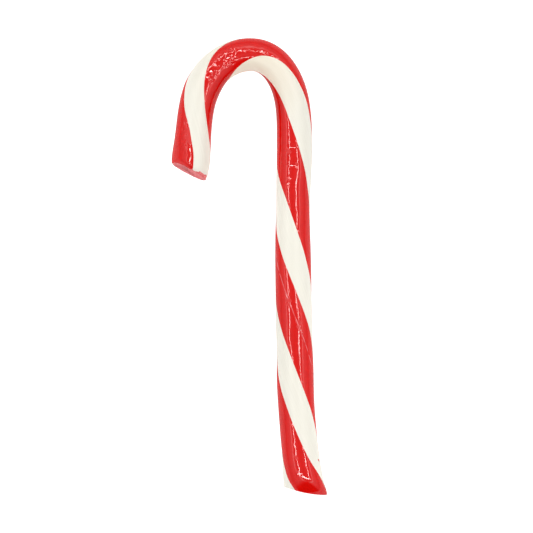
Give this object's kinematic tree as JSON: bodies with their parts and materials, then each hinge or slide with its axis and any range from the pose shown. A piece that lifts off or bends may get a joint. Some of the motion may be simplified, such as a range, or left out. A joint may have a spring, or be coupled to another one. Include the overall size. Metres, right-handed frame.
{
  "type": "candy cane",
  "caption": "Hard boiled-sugar stick bent over into a crook, red with white bands twisted round it, lying on its back.",
  "frame": {"origin": "middle of the cane's outline, at the level of the table it lies on", "axes": "+Y up the stem from the foot towards the crook, -X towards the side the crook turns over to, +Z out of the shown side"},
  "size_m": [0.0508, 0.15, 0.0117],
  "materials": {
    "boiled_sugar": "glossy hard sugar, red with cream-white bands, pale pink and matt at the snapped tip"
  },
  "bodies": {
    "root": {"cane": "boiled_sugar"}
  },
  "joints": []
}
